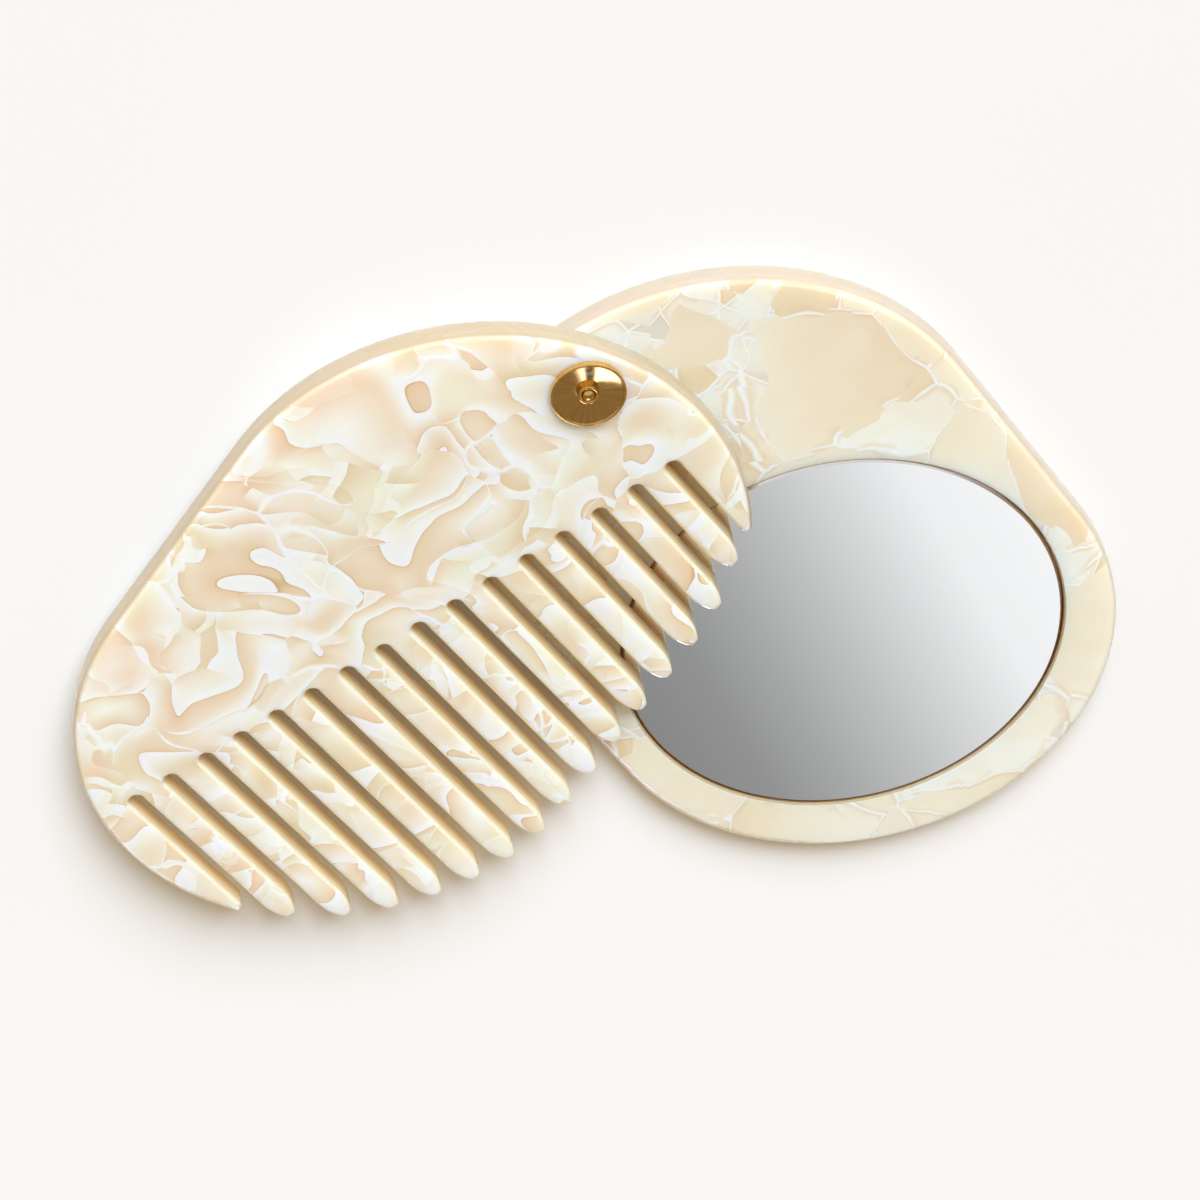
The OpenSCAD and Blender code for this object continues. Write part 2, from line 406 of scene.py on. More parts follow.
    def shader(self, tree: Tree) -> bpy.types.Node:
        """Build the polished acetate.

        Args:
            tree: The node tree.

        Returns:
            The shader node.
        """
        face, relief = self.pattern(tree)
        bump = add_node(
            tree, "Bump", {"Strength": 0.35, "Distance": self.relief_depth * MM, "Height": relief}
        )
        return add_node(
            tree,
            "BsdfPrincipled",
            {
                "Base Color": self.walls(tree, face),
                "Roughness": self.roughness,
                "IOR": 1.48,
                "Normal": bump.outputs[0],
                "Subsurface Weight": 0.9,
                "Subsurface Radius": (1.0, 0.7, 0.45),
                "Subsurface Scale": self.glow_reach * MM,
                "Coat Weight": 0.7,
                "Coat Roughness": 0.03,
                "Coat IOR": 1.48,
            },
        )


@dataclass(frozen=True)
class SwirlAcetate(PearlAcetate):
    """Pearl acetate folded while soft: beige pools ringed by white folds.

    Each fold is sharp on one side and fades on the other, as a saw-tooth wave does.
    A bend is its size and how far it pushes, in millimetres.
    """

    slow_bend: Pair = (20.0, 26.0)
    quick_bend: Pair = (6.0, 3.2)
    flake_size: float = 13.0
    flake_slips: float = 5.0
    layer_size: float = 17.0
    layer_count: float = 6.5
    glint_bend: Pair = (9.0, 9.0)
    glint_size: float = 7.0
    glint_steps: Pair = (7.0, 2.2)
    glint_patch: float = 13.0
    hue_patch: float = 12.0
    seam_patch: float = 9.0
    seam_width: float = 0.035

    def glints(self, tree: Tree, place: Socket) -> Socket:
        """Lay small bright flakes, each fading across its own width.

        Args:
            tree: The node tree.
            place: The place in millimetres.

        Returns:
            The socket of the colour.
        """
        bent = self.wander(tree, place, *self.glint_bend)
        tone, slope, _ = self.flakes(tree, bent, self.glint_size)
        by_tone, by_slope = self.glint_steps
        steps = add_node(tree, "Math", {0: tone, 1: by_tone}, operation="MULTIPLY")
        steps = add_node(
            tree, "Math", {0: slope, 1: by_slope, 2: steps.outputs[0]}, operation="MULTIPLY_ADD"
        )
        saw = add_node(tree, "Math", {0: steps.outputs[0]}, operation="FRACT")
        ramp = add_node(
            tree,
            "ValToRGB",
            {0: saw.outputs[0]},
            stops=((0.0, "E6CFA8"), (1.0, "FFFFFF"), (0.35, "F4EAD8"), (0.75, "FCFAF3")),
        )
        return ramp.outputs[0]

    def folds(self, tree: Tree, folded: Socket, step: Socket) -> tuple[Socket, Socket]:
        """Cut the folded sheet into stepped layers.

        Args:
            tree: The node tree.
            folded: The folded place in millimetres.
            step: How far the flake at that place has slipped, in layers.

        Returns:
            The sockets of the layers' colour and of their saw-tooth height.
        """
        layers = add_node(
            tree,
            "TexNoise",
            {"Vector": folded, "Scale": 1 / self.layer_size, "Detail": 0.9, "Roughness": 0.45},
        )
        steps = add_node(
            tree,
            "Math",
            {0: layers.outputs[0], 1: self.layer_count, 2: step},
            operation="MULTIPLY_ADD",
        )
        saw = add_node(tree, "Math", {0: steps.outputs[0]}, operation="FRACT")
        ramp = add_node(
            tree,
            "ValToRGB",
            {0: saw.outputs[0]},
            # The first stop paints a thin tan shadow line just after each sharp fold edge; the
            # rest is the fold's own tone.
            stops=(
                (0.0, "D2B07C"),
                (0.99, "FFFFFD"),
                (0.022, "E9D3AF"),
                (0.14, "EDDBBE"),
                (0.42, "F2E6D0"),
                (0.66, "F7EFE1"),
                (0.85, "FBF8F0"),
                (0.955, "FEFDF9"),
            ),
        )
        return ramp.outputs[0], saw.outputs[0]

    def pattern(self, tree: Tree) -> tuple[Socket, Socket]:
        """Fold the sheet by slow and quick noise and lay glints and seams on it.

        Args:
            tree: The node tree.

        Returns:
            The sockets of the face colour and of the relief.
        """
        mm = self.in_mm(tree)
        slow = self.wander(tree, mm, *self.slow_bend)
        folded = self.wander(tree, slow, *self.quick_bend)
        tone, slope, border = self.flakes(tree, folded, self.flake_size)
        slip = add_node(
            tree, "Math", {0: tone, 1: self.flake_slips, 2: slope}, operation="MULTIPLY_ADD"
        )
        layers, saw = self.folds(tree, folded, slip.outputs[0])
        where, hue, patchy = [
            add_node(tree, "TexNoise", {"Vector": bent, "Scale": 1 / size, "Detail": detail})
            for bent, size, detail in (
                (slow, self.glint_patch, 0.0),
                (folded, self.hue_patch, 1.0),
                (folded, self.seam_patch, 0.0),
            )
        ]
        share = add_node(
            tree,
            "MapRange",
            {"Value": where.outputs[0], 1: 0.5, 2: 0.66, 3: 0.0, 4: 0.75},
            interpolation_type="SMOOTHSTEP",
        )
        both = add_node(
            tree,
            "Mix",
            {0: share.outputs[0], 6: layers, 7: self.glints(tree, mm)},
            data_type="RGBA",
        )
        cast = add_node(
            tree,
            "ValToRGB",
            {0: hue.outputs[0]},
            stops=((0.32, "FFFAF8"), (0.68, "FAFDF3"), (0.5, "FFFFFF")),
        )
        both = add_node(
            tree,
            "Mix",
            {0: 1.0, 6: both.outputs[2], 7: cast.outputs[0]},
            data_type="RGBA",
            blend_type="MULTIPLY",
        )
        width = add_node(
            tree,
            "MapRange",
            {"Value": patchy.outputs[0], 1: 0.45, 2: 0.7, 3: 0.0, 4: self.seam_width},
        )
        seam = add_node(
            tree,
            "MapRange",
            {"Value": border, 1: 0.0, 2: width.outputs[0], 3: 0.9, 4: 0.0},
            interpolation_type="SMOOTHSTEP",
        )
        mixed = add_node(
            tree,
            "Mix",
            {0: seam.outputs[0], 6: both.outputs[2], 7: linear("FFFEFB")},
            data_type="RGBA",
        )
        relief = add_node(tree, "Math", {0: saw, 1: seam.outputs[0]}, operation="ADD")
        return mixed.outputs[2], relief.outputs[0]


@dataclass(frozen=True)
class TileAcetate(PearlAcetate):
    """Pearl acetate pressed from broken slabs: large flat tiles with thin white seams.

    Beside each white broken edge lies a painted tan shadow, as if the next slab dipped under it.
    A line's width is a share of the slab or shard that it borders.
    """

    chip_size: float = 6.0
    chip_reach: float = 1.8
    bend: Pair = (10.0, 6.0)
    slab_size: float = 19.0
    shard_size: float = 8.0
    cloud_size: float = 8.0
    shard_patch: float = 22.0
    line_patch: float = 5.0
    line_width: Pair = (0.006, 0.03)
    # How much wider the painted shadow band is than the white line.
    shade_width: float = 3.2
    shard_lines: Pair = (0.1, 0.04)
    line_strength: Pair = (0.5, 0.95)

    def torn(self, tree: Tree, mm: Socket) -> Socket:
        """Push a place about in small straight steps on top of a slow bend.

        Args:
            tree: The node tree.
            mm: The place in millimetres.

        Returns:
            The socket of the pushed place.
        """
        chip = add_node(tree, "TexVoronoi", {"Vector": mm, "Scale": 1 / self.chip_size})
        jag = add_node(
            tree, "VectorMath", {0: chip.outputs["Color"], 1: MIDDLE_GREY}, operation="SUBTRACT"
        )
        pushed = add_node(
            tree,
            "VectorMath",
            {0: jag.outputs[0], 1: (self.chip_reach,) * 3, 2: self.wander(tree, mm, *self.bend)},
            operation="MULTIPLY_ADD",
        )
        return pushed.outputs[0]

    def slabs(self, tree: Tree, torn: Socket, step: Socket) -> tuple[Socket, Socket]:
        """Give each slab a tone that drifts across it.

        Args:
            tree: The node tree.
            torn: The pushed place in millimetres.
            step: The tone and slope of the slab at that place.

        Returns:
            The sockets of the colour and of the slab's level.
        """
        cloud = add_node(
            tree, "TexNoise", {"Vector": torn, "Scale": 1 / self.cloud_size, "Detail": 1.5}
        )
        level = add_node(
            tree, "Math", {0: cloud.outputs[0], 1: 0.9, 2: step}, operation="MULTIPLY_ADD"
        )
        level = add_node(tree, "MapRange", {"Value": level.outputs[0], 1: 0.2, 2: 1.7})
        ramp = add_node(
            tree,
            "ValToRGB",
            {0: level.outputs[0]},
            stops=((0.0, "EEDDBD"), (1.0, "FBF7EC"), (0.35, "F3E6CD"), (0.7, "F7EEDB")),
        )
        return ramp.outputs[0], level.outputs[0]

    def pattern(self, tree: Tree) -> tuple[Socket, Socket]:
        """Break the sheet into ragged slabs with shards between some of them.

        Args:
            tree: The node tree.

        Returns:
            The sockets of the face colour and of the relief.
        """
        mm = self.in_mm(tree)
        torn = self.torn(tree, mm)
        tone, slope, border = self.flakes(tree, torn, self.slab_size)
        step = add_node(tree, "Math", {0: slope, 1: 1.6, 2: tone}, operation="MULTIPLY_ADD")
        slabs, level = self.slabs(tree, torn, step.outputs[0])
        shard_tone, shard_slope, shard_border = self.flakes(tree, torn, self.shard_size)
        shard = add_node(
            tree, "Math", {0: shard_slope, 1: 1.5, 2: shard_tone}, operation="MULTIPLY_ADD"
        )
        shard = add_node(tree, "MapRange", {"Value": shard.outputs[0], 1: -0.1, 2: 1.1})
        shards = add_node(
            tree,
            "ValToRGB",
            {0: shard.outputs[0]},
            stops=(
                (0.0, "E3DED0"),
                (1.0, "EBD8B6"),
                (0.1, "F1EBDC"),
                (0.4, "FAF5EA"),
                (0.75, "F4E8D0"),
            ),
        )
        slow = add_node(
            tree, "TexNoise", {"Vector": mm, "Scale": 1 / self.shard_patch, "Detail": 0.0}
        )
        reach = add_node(
            tree, "MapRange", {"Value": slow.outputs[0], 1: 0.48, 2: 0.68, 3: -0.03, 4: 0.2}
        )
        near = add_node(tree, "Math", {0: border, 1: reach.outputs[0]}, operation="LESS_THAN")
        both = add_node(
            tree, "Mix", {0: near.outputs[0], 6: slabs, 7: shards.outputs[0]}, data_type="RGBA"
        )
        patchy = add_node(
            tree, "TexNoise", {"Vector": mm, "Scale": 1 / self.line_patch, "Detail": 1.0}
        )
        narrow, widest = self.line_width
        width = add_node(
            tree, "MapRange", {"Value": patchy.outputs[0], 1: 0.35, 2: 0.7, 3: narrow, 4: widest}
        )
        wide = add_node(
            tree, "Math", {0: width.outputs[0], 1: self.shade_width}, operation="MULTIPLY"
        )
        # Where the painted shadow beside the seams shows.
        shaded = add_node(
            tree, "MapRange", {"Value": patchy.outputs[0], 1: 0.42, 2: 0.52, 3: 0.0, 4: 1.0}
        )
        lines = []
        widths = zip((wide, width), self.shard_lines, self.line_strength)
        for slab_width, shard_width, strength in widths:
            edge = add_node(
                tree,
                "MapRange",
                {"Value": border, 1: 0.0, 2: slab_width.outputs[0], 3: strength, 4: 0.0},
                interpolation_type="SMOOTHSTEP",
            )
            thin = add_node(
                tree,
                "MapRange",
                {"Value": shard_border, 1: 0.0, 2: shard_width, 3: strength, 4: 0.0},
                interpolation_type="SMOOTHSTEP",
            )
            thin = add_node(
                tree, "Math", {0: thin.outputs[0], 1: near.outputs[0]}, operation="MULTIPLY"
            )
            line = add_node(
                tree, "Math", {0: edge.outputs[0], 1: thin.outputs[0]}, operation="MAXIMUM"
            )
            lines.append(line.outputs[0])
        # Painted shadow: a tan band beside each white seam.
        shade = add_node(
            tree, "Math", {0: lines[0], 1: shaded.outputs[0]}, operation="MULTIPLY"
        )
        both = add_node(
            tree,
            "Mix",
            {0: shade.outputs[0], 6: both.outputs[2], 7: linear("DFC69C")},
            data_type="RGBA",
        )
        both = add_node(
            tree,
            "Mix",
            {0: lines[1], 6: both.outputs[2], 7: linear("FFFDF8")},
            data_type="RGBA",
        )
        relief = add_node(tree, "Math", {0: level, 1: lines[1]}, operation="ADD")
        return both.outputs[2], relief.outputs[0]


@dataclass(frozen=True)
class PolishedBrass(Finish):
    """Brass spun and buffed: fine bright and dull lines run out from the axis.

    Real buffing lines are hundredths of a millimetre wide. These are drawn coarser, so
    that they show.
    """

    base_hex: str = "EDC272"
    dull_hex: str = "DFB066"
    line_scale: float = 14.0
    line_depth: float = 0.02
    smears: float = 1.2
    smear_shares: Pair = (0.7, 1.4)

    def shader(self, tree: Tree) -> bpy.types.Node:
        """Build the brass with its buffing lines.

        Args:
            tree: The node tree.

        Returns:
            The shader node.
        """
        place = add_node(tree, "TexCoord").outputs["Object"]
        centred = add_node(
            tree,
            "Mapping",
            {
                "Vector": place,
                "Location": (-RIVET_X, -RIVET_Y, 0.0),
                "Scale": (PER_METRE, PER_METRE, PER_METRE),
            },
        )
        flat = add_node(
            tree, "VectorMath", {0: centred.outputs[0], 1: (1.0, 1.0, 0.0)}, operation="MULTIPLY"
        )
        outwards = add_node(tree, "VectorMath", {0: flat.outputs[0]}, operation="NORMALIZE")
        lines = add_node(
            tree,
            "TexNoise",
            {"Vector": outwards.outputs[0], "Scale": self.line_scale, "Detail": 4.0},
        )
        dull = add_node(tree, "MapRange", {"Value": lines.outputs[0], 1: 0.4, 2: 0.65})
        colour = add_node(
            tree,
            "Mix",
            {0: dull.outputs[0], 6: linear(self.base_hex), 7: linear(self.dull_hex)},
            data_type="RGBA",
        )
        bump = add_node(
            tree,
            "Bump",
            {"Strength": 0.03, "Distance": self.line_depth * MM, "Height": lines.outputs[0]},
        )
        smears = add_node(
            tree, "TexNoise", {"Vector": centred.outputs[0], "Scale": self.smears, "Detail": 3.0}
        )
        rough = add_node(
            tree,
            "MapRange",
            {
                "Value": smears.outputs[0],
                1: 0.3,
                2: 0.7,
                3: self.roughness * self.smear_shares[0],
                4: self.roughness * self.smear_shares[1],
            },
        )
        return add_node(
            tree,
            "BsdfPrincipled",
            {
                "Base Color": colour.outputs[2],
                "Metallic": 1.0,
                "Roughness": rough.outputs[0],
                "Normal": bump.outputs[0],
            },
        )


@dataclass(frozen=True)
class SilveredGlass(Finish):
    """Float glass with a silver coat, seen as a clean neutral mirror."""

    base_hex: str = "F4F5F6"
    haze_scale: float = 60.0

    def shader(self, tree: Tree) -> bpy.types.Node:
        """Build the mirror with a trace of haze.

        Args:
            tree: The node tree.

        Returns:
            The shader node.
        """
        place = add_node(tree, "TexCoord").outputs["Object"]
        haze = add_node(
            tree, "TexNoise", {"Vector": place, "Scale": self.haze_scale, "Detail": 3.0}
        )
        rough = add_node(
            tree,
            "MapRange",
            {"Value": haze.outputs[0], 1: 0.3, 2: 0.7, 3: self.roughness, 4: self.roughness * 2},
        )
        return add_node(
            tree,
            "BsdfPrincipled",
            {
                "Base Color": linear(self.base_hex),
                "Metallic": 1.0,
                "Roughness": rough.outputs[0],
            },
        )


@dataclass(frozen=True)
class MouldedPlastic(Finish):
    """Plain moulded or cut plastic with a fine grain."""

    base_hex: str = "EAE4D4"
    grain: float = 0.4
    grain_depth: float = 0.03

    def shader(self, tree: Tree) -> bpy.types.Node:
        """Build the grained plastic.

        Args:
            tree: The node tree.

        Returns:
            The shader node.
        """
        place = add_node(tree, "TexCoord").outputs["Object"]
        speck = add_node(
            tree, "TexNoise", {"Vector": place, "Scale": 1 / (self.grain * MM), "Detail": 2.0}
        )
        bump = add_node(
            tree,
            "Bump",
            {"Strength": 0.2, "Distance": self.grain_depth * MM, "Height": speck.outputs[0]},
        )
        darker = add_node(
            tree,
            "Mix",
            {0: speck.outputs[0], 6: linear(self.base_hex), 7: linear("FFFFFF")},
            data_type="RGBA",
            blend_type="MULTIPLY",
        )
        return add_node(
            tree,
            "BsdfPrincipled",
            {
                "Base Color": darker.outputs[2],
                "Roughness": self.roughness,
                "Normal": bump.outputs[0],
            },
        )


SWIRL = SwirlAcetate(
    "pearl_swirl_acetate_polished",
    Slot.SWIRL,
    0.3,
    swung=COMB_OPENING,
)
TILE = TileAcetate(
    "pearl_tile_acetate_polished",
    Slot.TILE,
    0.3,
    offset=(12.0, 58.0, 3.0),
    # Painted shade: the recess walls round the glass are dark bronze, darker towards the bottom,
    # and the rim walls a shaded tan.
    rim_wall_tint_and_shade_hex="C3B29B",
    sawn_deep_shade_hex="5A4424",
    sawn_mid_shade_hex="7A5C33",
    sawn_top_shade_hex="A8854F",
    lit_height=MIRROR_FACE,
)
BRASS = PolishedBrass("brass_turned_and_buffed", Slot.BRASS, 0.1)
MIRROR = SilveredGlass("float_glass_silvered", Slot.MIRROR, 0.015)
NYLON = MouldedPlastic("nylon_washer_stamped", Slot.NYLON, 0.5)
PAD = MouldedPlastic("foam_tape_cut", Slot.ADHESIVE, 0.8, base_hex="6F6F6F")


def dress(piece: bpy.types.Object, finish: Finish) -> None:
    """Give a piece its finish.

    Args:
        piece: The mesh object.
        finish: The finish that it takes.
    """
    material = finish.material()
    if piece.data.materials:
        for index in range(len(piece.data.materials)):
            piece.data.materials[index] = material
    else:
        piece.data.materials.append(material)
    log.info("%s dressed in %s", piece.name, finish.name)


def turned_piece(
    name: str, outline: list[Pair], axis: Point, steps: int = 160, sharp: float = 32.0
) -> bpy.types.Object:
    """Turn a closed outline about an upright axis, as on a lathe.

    Corners and faces are made ring by ring, so they come in the same order each run.

    Args:
        name: The piece's name.
        outline: Radius and height of each corner in millimetres.
        axis: A point on the axis in metres.
        steps: How many facets go round.
        sharp: The angle in degrees from which an edge stays sharp.

    Returns:
        The finished mesh object.
    """
    work = bmesh.new()
    rings = []
    for step in range(steps):
        turn = Matrix.Translation(axis) @ Matrix.Rotation(2 * math.pi * step / steps, 4, "Z")
        corners = [Vector((radius * MM, 0.0, height * MM)) for radius, height in outline]
        rings.append([work.verts.new(turn @ corner) for corner in corners])
    for ring, following in zip(rings, rings[1:] + rings[:1]):
        for side in range(len(outline)):
            work.faces.new((ring[side - 1], ring[side], following[side], following[side - 1]))
    bmesh.ops.recalc_face_normals(work, faces=work.faces)
    for face in work.faces:
        face.smooth = True
    for edge in work.edges:
        edge.smooth = edge.calc_face_angle(0.0) < math.radians(sharp)
    mesh = bpy.data.meshes.new(name)
    work.to_mesh(mesh)
    work.free()
    piece = bpy.data.objects.new(name, mesh)
    bpy.context.scene.collection.objects.link(piece)
    return piece


@dataclass
class RivetStack:
    """The brass rivet that the halves turn on, with its washers.

    The dished washer is turned anew with a dish that steepens towards its rim, which is
    what bends the reflections in it. bore, outer and lip are radii.
    """

    body: Body = Body.MIRROR
    bore: float = 1.14
    outer: float = 5.0
    bottom: float = 7.65
    top: float = 8.75
    lip: float = 0.225
    dish_from: float = 1.5
    dish_floor: float = 8.0
    dish_slope: float = 0.1
    dish_curve: float = 0.0237
    steps: int = 14

    def dish_outline(self) -> list[Pair]:
        """Return the radius and height of each corner of the dished washer's section."""
        inner = self.outer - 2 * self.lip
        middle = (self.outer - self.lip, self.top - self.lip)
        lip_turns = [math.pi * step / self.steps for step in range(self.steps + 1)]
        lip = [
            (middle[0] + self.lip * math.cos(turn), middle[1] + self.lip * math.sin(turn))
            for turn in lip_turns
        ]
        reach = [(inner - self.dish_from) * (1 - step / self.steps) for step in range(self.steps)]
        dish = [
            (self.dish_from + t, self.dish_floor + self.dish_slope * t + self.dish_curve * t * t)
            for t in reach
        ]
        return [
            (self.bore, self.bottom),
            (self.outer - self.lip, self.bottom),
            (self.outer, self.bottom + self.lip),
            *lip,
            *dish,
            (self.dish_from, self.dish_floor),
            (self.bore, self.dish_floor),
        ]

    def build(self) -> None:
        """Turn the dished washer and dress the rivet's CAD nodes."""
        axis = (RIVET_X * MM, RIVET_Y * MM, 0.0)
        washer = turned_piece("dished_washer_turned", self.dish_outline(), axis)
        dress(washer, BRASS)
        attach(washer, self.body.value)
        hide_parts("dished_washer")
        for node in ("hollow_rivet", "rivet_pin", "rear_washer"):
            dress(frame["nodes"][node], BRASS)
        dress(frame["nodes"]["slip_washer"], NYLON)


@dataclass
class MirrorHalf:
    """The lower plate with its round mirror."""

    body: Body = Body.MIRROR

    def build(self) -> None:
        """Dress the plate, the glass and the pad under it."""
        dress(frame["nodes"]["mirror_plate"], TILE)
        dress(frame["nodes"]["mirror_glass"], MIRROR)
        dress(frame["nodes"]["mirror_pad"], PAD)


@dataclass
class CombHalf:
    """The upper plate, sawn into teeth."""

    body: Body = Body.COMB

    def build(self) -> None:
        """Dress the comb plate."""
        dress(frame["nodes"]["comb_plate"], SWIRL)


@dataclass
class Studio:
    """Pale floor, soft light, the camera and what polished surfaces reflect.

    The studio's lengths are in metres, and the lens is in millimetres as on any camera.
    The directions in the room are horizontal: pale_side and window_side point at what they
    name, and the others point across a vertical edge. The pairs beside them say where
    along a direction, or at what height, something fades in or out.
    """

    floor_hex: str = "F9F7F3"
    floor_low_hex: str = "F8F6F1"
    floor_size: float = 4.0
    camera_place: Point = (-384.85 * MM, 150.74 * MM, 481.88 * MM)
    camera_right: Point = (0.55073, 0.82464, 0.1292)
    camera_up: Point = (-0.59076, 0.49443, -0.63762)
    camera_back: Point = (-0.58969, 0.27484, 0.75944)
    lens: float = 139.5
    sun_strength: float = 3.77
    sun_spread: float = 32.0
    sun_from: Point = (-0.663, 0.557, 0.500)
    sun_tint: Point = (0.873, 1.017, 1.23)
    fill_tint: Point = (0.49, 0.40, 0.28)
    room_hex: str = "8F857A"
    pale_hex: str = "DDDBD7"
    pale_side: Point = (-0.906, 0.423, 0.0)
    pale_fade: Pair = (0.0, 0.5)
    window_light: Colour = (3.7, 4.0, 6.4, 1.0)
    window_side: Point = (-0.350, -0.937, 0.0)
    window_side_fade: Pair = (-0.03, 0.07)
    window_end: Point = (0.829, 0.559, 0.0)
    window_end_fade: Pair = (0.0, 0.09)
    window_foot: Pair = (0.31, 0.35)
    window_top: Pair = (0.625, 0.665)
    post_side: Point = (0.4695, 0.8829, 0.0)
    post_edge: Pair = (0.04, 0.058)
    post_shade: float = 0.97
    mirror_centre: Point = (13.9 * MM, 0.0, 3.4 * MM)
    card_distance: float = 2.0
    card_radius: float = 0.2
    card_fade: Pair = (0.147, 0.198)
    card_reach: float = 0.12
    card_stops: tuple[tuple[float, str], ...] = (
        (0.0, "8D8D8D"),
        (1.0, "FFFFFF"),
        (0.18, "989898"),
        (0.34, "AFAFAF"),
        (0.5, "C8C8C8"),
        (0.66, "E1E1E1"),
        (0.82, "F9F9F9"),
    )

    def floor(self) -> None:
        """Lay a wide pale floor under the object."""
        work = bmesh.new()
        bmesh.ops.create_grid(work, x_segments=8, y_segments=8, size=self.floor_size)
        mesh = bpy.data.meshes.new("floor")
        work.to_mesh(mesh)
        work.free()
        floor = bpy.data.objects.new("floor", mesh)
        bpy.context.scene.collection.objects.link(floor)
        material, tree = new_material("pale_floor")
        place = add_node(tree, "TexCoord").outputs["Object"]
        mottle = add_node(tree, "TexNoise", {"Vector": place, "Scale": 6.0, "Detail": 2.0})
        colour = add_node(
            tree,
            "ValToRGB",
            {0: mottle.outputs[0]},
            stops=((0.3, self.floor_low_hex), (0.7, self.floor_hex)),
        )
        shader = add_node(
            tree, "BsdfDiffuse", {"Color": colour.outputs[0], "Roughness": 0.0}
        )
        add_node(tree, "OutputMaterial", {"Surface": shader.outputs[0]})
        mesh.materials.append(material)

    def room(self, tree: Tree) -> Socket:
        """Paint the room that polished surfaces reflect.

        It is brown and dim on the far side and paler behind the camera, with a white window
        low on the far side and a dark post in front of that window. The window and the
        post are what the brass shows as a bright sector with a dark bar.

        Args:
            tree: The world's node tree.

        Returns:
            The socket of the room's colour.
        """
        direction = add_node(tree, "TexCoord").outputs["Generated"]
        height = add_node(tree, "SeparateXYZ", {0: direction}).outputs["Z"]
        aside, before_end, behind, beside_post = [
            add_node(
                tree, "VectorMath", {0: direction, 1: side}, operation="DOT_PRODUCT"
            ).outputs["Value"]
            for side in (self.window_side, self.window_end, self.pale_side, self.post_side)
        ]
        from_post = add_node(tree, "Math", {0: beside_post}, operation="ABSOLUTE").outputs[0]
        window, *edges, pale, post = [
            add_node(
                tree,
                "MapRange",
                {"Value": value, 1: fade[0], 2: fade[1], 3: before, 4: after},
                interpolation_type="SMOOTHSTEP",
            ).outputs[0]
            for value, fade, before, after in (
                (height, self.window_top, 1.0, 0.0),
                (aside, self.window_side_fade, 0.0, 1.0),
                (height, self.window_foot, 0.0, 1.0),
                (before_end, self.window_end_fade, 0.0, 1.0),
                (behind, self.pale_fade, 0.0, 1.0),
                (from_post, self.post_edge, -self.post_shade, 0.0),
            )
        ]
        for edge in edges:
            window = add_node(
                tree, "Math", {0: window, 1: edge}, operation="MULTIPLY"
            ).outputs[0]
        walls = add_node(
            tree,
            "Mix",
            {0: pale, 6: linear(self.room_hex), 7: linear(self.pale_hex)},
            data_type="RGBA",
        )
        colour = add_node(
            tree,
            "Mix",
            {0: window, 6: walls.outputs[2], 7: self.window_light},
            data_type="RGBA",
        )
        shaded = add_node(
            tree, "Math", {0: post, 1: window, 2: 1.0}, operation="MULTIPLY_ADD"
        )
        lit = add_node(
            tree,
            "VectorMath",
            {0: colour.outputs[2], "Scale": shaded.outputs[0]},
            operation="SCALE",
        )
        return lit.outputs[0]

    def world(self) -> None:
        """Light the room evenly, and let the camera see a pale backdrop.

        Glossy rays see the painted room in place of both.
        """
        world = bpy.data.worlds.new("studio")
        bpy.context.scene.world = world
        world.use_nodes = True
        tree = world.node_tree
        tree.nodes.clear()
        rays = add_node(tree, "LightPath")
        seen = add_node(
            tree,
            "Math",
            {0: rays.outputs["Is Camera Ray"], 1: rays.outputs["Is Transmission Ray"]},
            operation="MAXIMUM",
        )
        lamp = add_node(tree, "Background", {"Color": (*self.fill_tint, 1.0), "Strength": 1.0})
        shown = add_node(tree, "Background", {"Color": self.room(tree), "Strength": 1.0})
        backdrop = add_node(
            tree, "Background", {"Color": linear(self.floor_hex), "Strength": 1.0}
        )
        gloss = add_node(
            tree,
            "MixShader",
            {0: rays.outputs["Is Glossy Ray"], 1: lamp.outputs[0], 2: shown.outputs[0]},
        )
        mixed = add_node(
            tree, "MixShader", {0: seen.outputs[0], 1: gloss.outputs[0], 2: backdrop.outputs[0]}
        )
        add_node(tree, "OutputWorld", {"Surface": mixed.outputs[0]})

    def sun(self) -> None:
        """Hang one broad soft lamp behind the camera, left out of the reflections."""
        data = bpy.data.lights.new("soft_key", "SUN")
        data.energy = self.sun_strength
        data.angle = math.radians(self.sun_spread)
        data.color = self.sun_tint
        lamp = bpy.data.objects.new("soft_key", data)
        lamp.rotation_mode = "QUATERNION"
        lamp.rotation_quaternion = Vector(self.sun_from).to_track_quat("Z", "Y")
        lamp.visible_glossy = False
        bpy.context.scene.collection.objects.link(lamp)

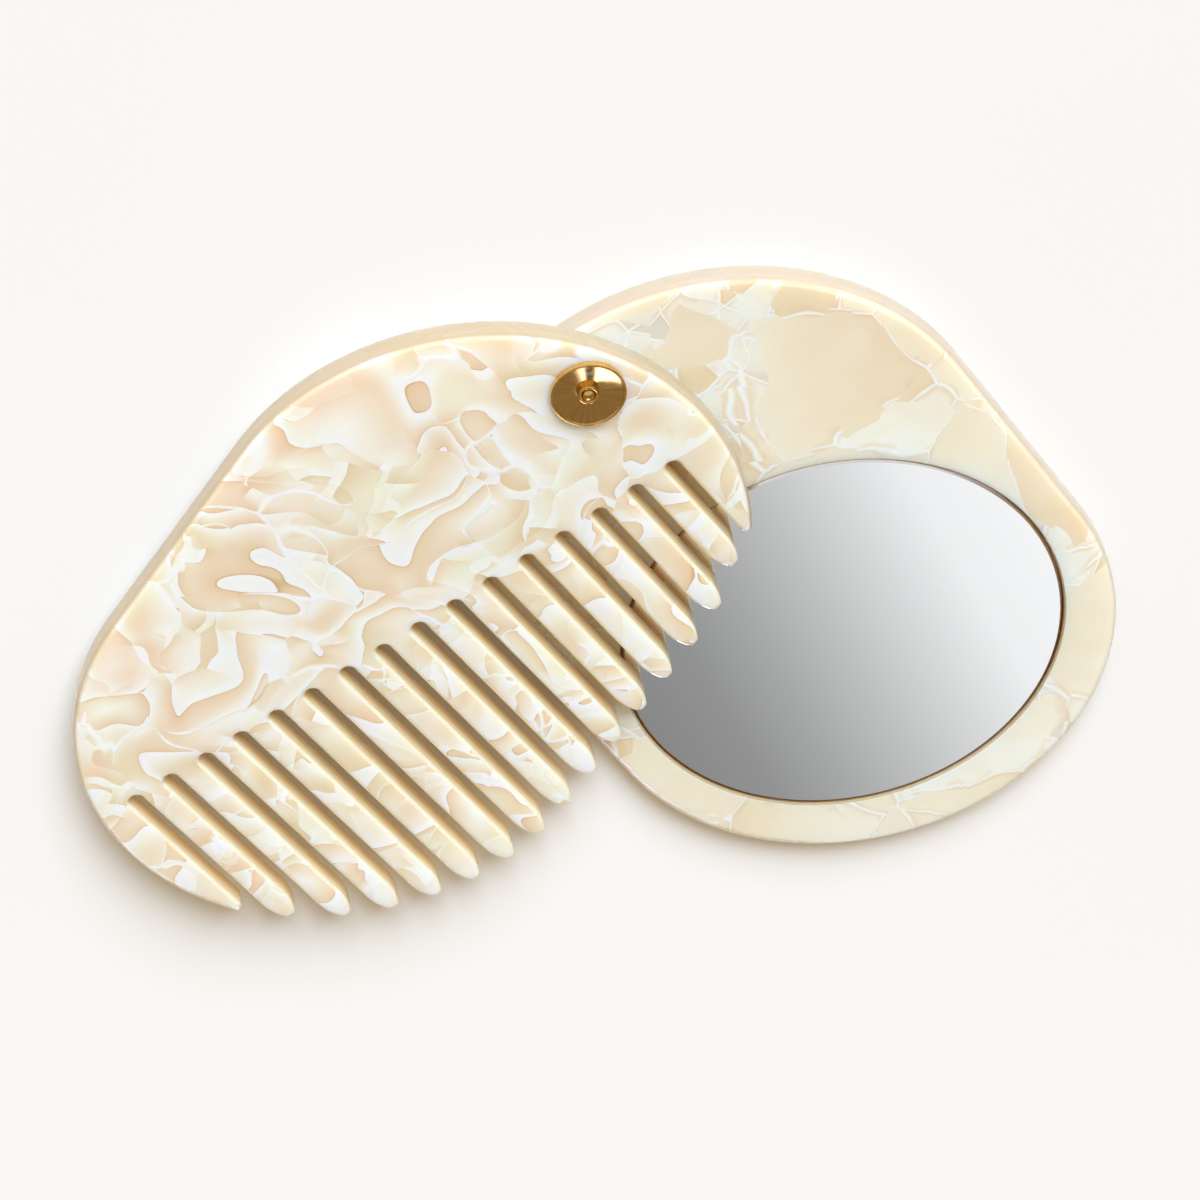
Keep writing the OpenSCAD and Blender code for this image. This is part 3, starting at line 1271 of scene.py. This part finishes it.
    def card(self) -> None:
        """Hang a glowing grey card where the mirror sees it, paler towards one side. It is seen
        only in reflections, and its glow paints the light that the mirror shows.
        """
        mirrored = (Vector(self.mirror_centre) - Vector(self.camera_place)).normalized()
        mirrored.z *= -1
        centre = Vector(self.mirror_centre) + mirrored * self.card_distance
        work = bmesh.new()
        bmesh.ops.create_circle(work, cap_ends=True, segments=48, radius=self.card_radius)
        turn = mirrored.to_track_quat("Z", "Y").to_matrix().to_4x4()
        bmesh.ops.transform(work, matrix=Matrix.Translation(centre) @ turn, verts=work.verts)
        mesh = bpy.data.meshes.new("grey_card")
        work.to_mesh(mesh)
        work.free()
        card = bpy.data.objects.new("grey_card", mesh)
        bpy.context.scene.collection.objects.link(card)
        for way in ("camera", "diffuse", "transmission", "volume_scatter", "shadow"):
            setattr(card, "visible_" + way, False)
        material, tree = new_material("grey_card_glow")
        place = add_node(tree, "TexCoord").outputs["Object"]
        across = add_node(
            tree, "VectorMath", {0: place, 1: tuple(centre)}, operation="SUBTRACT"
        ).outputs[0]
        along = add_node(tree, "SeparateXYZ", {0: across}).outputs["Y"]
        level = add_node(
            tree, "MapRange", {"Value": along, 1: -self.card_reach, 2: self.card_reach}
        )
        grey = add_node(tree, "ValToRGB", {0: level.outputs[0]}, stops=self.card_stops)
        far = add_node(tree, "VectorMath", {0: across}, operation="LENGTH").outputs["Value"]
        fade = add_node(
            tree,
            "MapRange",
            {"Value": far, 1: self.card_fade[0], 2: self.card_fade[1]},
            interpolation_type="SMOOTHSTEP",
        )
        # The card glows: its grey gradient is emitted light, not lit paper.
        glow = add_node(tree, "Emission", {"Color": grey.outputs[0], "Strength": 1.0})
        clear = add_node(tree, "BsdfTransparent")
        mixed = add_node(
            tree, "MixShader", {0: fade.outputs[0], 1: glow.outputs[0], 2: clear.outputs[0]}
        )
        add_node(tree, "OutputMaterial", {"Surface": mixed.outputs[0]})
        mesh.materials.append(material)

    def camera(self) -> None:
        """Stand the camera where the photograph was taken from."""
        data = bpy.data.cameras.new("camera")
        data.lens = self.lens
        data.sensor_width = 36.0
        data.clip_start = 0.01
        data.clip_end = 20.0
        camera = bpy.data.objects.new("camera", data)
        turn = Matrix((self.camera_right, self.camera_up, self.camera_back)).transposed()
        camera.matrix_world = Matrix.Translation(self.camera_place) @ turn.to_4x4()
        bpy.context.scene.collection.objects.link(camera)
        bpy.context.scene.camera = camera

    def build(self) -> None:
        """Set up the whole studio."""
        bpy.context.scene.view_settings.view_transform = "Standard"
        self.floor()
        self.world()
        self.sun()
        self.card()
        self.camera()


def main() -> None:
    """Build every part in order."""
    logging.basicConfig(level=logging.INFO, format="%(message)s")
    for part in (MirrorHalf(), CombHalf(), RivetStack()):
        part.build()
        log.info("%s built on %s", type(part).__name__, part.body.value)
    Studio().build()
    log.info("Studio set up")


if __name__ == "__main__":
    main()
